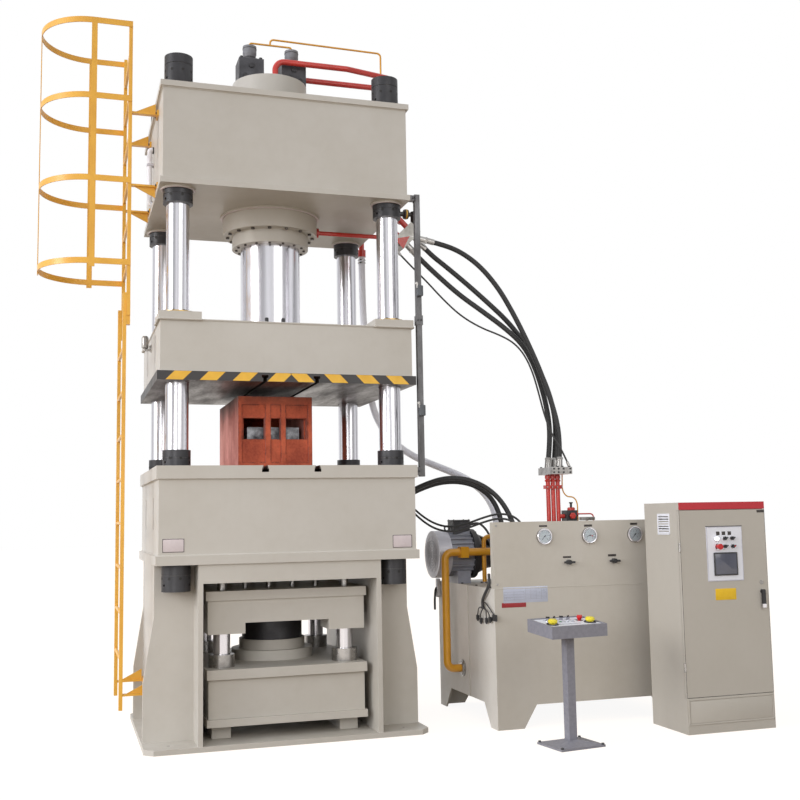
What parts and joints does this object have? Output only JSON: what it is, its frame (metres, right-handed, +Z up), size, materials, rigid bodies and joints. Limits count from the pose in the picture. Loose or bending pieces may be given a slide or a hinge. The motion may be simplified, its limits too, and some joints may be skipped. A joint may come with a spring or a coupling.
{
  "type": "four-column hydraulic press",
  "caption": "Four-column hydraulic press with crown cylinder, moving slide, bolster with die, cushion, caged ladder, hoses, oil power station, electric cabinet and operator console.",
  "frame": {"origin": "centre of the four columns on the floor", "axes": "+Z up, +X to the operator's right, +Y into the depth of the press"},
  "size_m": [5.0035, 2.4888, 5.319],
  "materials": {
    "press_paint": "semi-gloss enamel",
    "column_chrome": "ground and chromed",
    "nut_black": "blackened steel",
    "machined_steel": "machined",
    "dark_steel": "oiled",
    "die_orange": "worn primer",
    "bronze": "turned bronze",
    "pipe_red": "gloss enamel",
    "pipe_yellow": "gloss enamel",
    "hose_black": "matt",
    "hose_clear": "ribbed suction hose",
    "cabinet_paint": "powder coat",
    "dial": "clear",
    "button_red": "moulded",
    "button_yellow": "moulded",
    "handle_black": "moulded",
    "switchgear": "moulded",
    "motor_paint": "enamel",
    "prefill_grey": "phosphated"
  },
  "bodies": {
    "press": {"base_frame": "press_paint", "bolster": "press_paint", "crown": "press_paint", "columns": "column_chrome", "column_nuts": "nut_black", "main_cylinder": "press_paint", "gland_ring": "dark_steel", "die_block": "die_orange", "die_insert": "dark_steel", "cushion_beam": "press_paint", "cushion_posts": "column_chrome", "cushion_post_nuts": "nut_black", "cushion_cylinder": "press_paint", "ladder_upper": "pipe_yellow", "ladder_lower": "pipe_yellow", "ladder_cage": "pipe_yellow", "switch_rail": "press_paint", "prefill_valves": "prefill_grey", "pilot_pipe": "pipe_yellow", "crown_pipes": "pipe_red", "hose_manifold": "machined_steel", "bolster_ports": "machined_steel", "oil_tank": "press_paint", "gauge_panel": "press_paint", "pressure_gauges": "dial", "drive_motor": "motor_paint", "bell_housing": "motor_paint", "pump": "prefill_grey", "pump_pipes": "pipe_yellow", "valve_block": "machined_steel", "station_pipes": "pipe_red", "cabinet_shell": "cabinet_paint", "mounting_plate": "switchgear", "console_stand": "cabinet_paint", "hose_upper_a": "hose_black", "hose_upper_b": "hose_black", "hose_upper_c": "hose_black", "hose_pilot": "hose_black", "hose_return": "hose_clear", "hose_lower_a": "hose_black", "hose_lower_b": "hose_black", "hose_thin_a": "hose_black", "hose_thin_b": "hose_black"},
    "slide_unit": {"slide": "press_paint", "slide_face_plate": "dark_steel", "guide_bushes": "bronze", "main_ram": "column_chrome", "oil_cup": "bronze"},
    "cushion_unit": {"cushion_platen": "press_paint", "cushion_ram": "dark_steel", "cushion_pins": "column_chrome"},
    "motor_rotor": {"motor_shaft": "machined_steel"},
    "valve_handle_left": {"gauge_valve_left": "handle_black"},
    "valve_handle_right": {"gauge_valve_right": "handle_black"},
    "door": {"cabinet_door": "cabinet_paint"},
    "door_latch": {"door_handle": "handle_black"},
    "door_stop": {"door_stop_button": "button_red"},
    "palm_left": {"palm_button_left": "button_yellow"},
    "palm_right": {"palm_button_right": "button_yellow"},
    "emergency": {"emergency_stop": "button_red"}
  },
  "joints": [
    {"name": "slide_travel", "type": "slide", "parent": "press", "child": "slide_unit", "axis": [0, 0, 1], "range_m": [-0.054, 0.65]},
    {"name": "cushion_lift", "type": "slide", "parent": "press", "child": "cushion_unit", "axis": [0, 0, 1], "range_m": [0, 0.12]},
    {"name": "motor_spin", "type": "hinge", "parent": "press", "child": "motor_rotor", "pos_m": [1.6, 0.05, 1.216], "axis": [1, 0, 0], "continuous": true},
    {"name": "gauge_valve_left_turn", "type": "hinge", "parent": "press", "child": "valve_handle_left", "pos_m": [2.045, -0.87, 1.164], "axis": [0, 1, 0], "range_deg": [0, 720]},
    {"name": "gauge_valve_right_turn", "type": "hinge", "parent": "press", "child": "valve_handle_right", "pos_m": [2.417, -0.87, 1.164], "axis": [0, 1, 0], "range_deg": [0, 720]},
    {"name": "cabinet_door_swing", "type": "hinge", "parent": "press", "child": "door", "pos_m": [2.596, -1.484, 0.886], "axis": [0, 0, -1], "range_deg": [0, 110]},
    {"name": "door_handle_turn", "type": "hinge", "parent": "door", "child": "door_latch", "pos_m": [3.235, -1.491, 0.947], "axis": [0, 1, 0], "range_deg": [0, 90]},
    {"name": "door_stop_press", "type": "slide", "parent": "door", "child": "door_stop", "axis": [0, 1, 0], "range_m": [0, 0.008], "stiffness_N_per_m": 600, "springref_m": -0.006},
    {"name": "palm_left_press", "type": "slide", "parent": "press", "child": "palm_left", "axis": [-0.013, 0.095, -0.9954], "range_m": [0, 0.006], "stiffness_N_per_m": 900, "springref_m": -0.006},
    {"name": "palm_right_press", "type": "slide", "parent": "press", "child": "palm_right", "axis": [-0.013, 0.095, -0.9954], "range_m": [0, 0.006], "stiffness_N_per_m": 900, "springref_m": -0.006},
    {"name": "emergency_press", "type": "slide", "parent": "press", "child": "emergency", "axis": [-0.013, 0.095, -0.9954], "range_m": [0, 0.008], "stiffness_N_per_m": 700, "springref_m": -0.006}
  ]
}
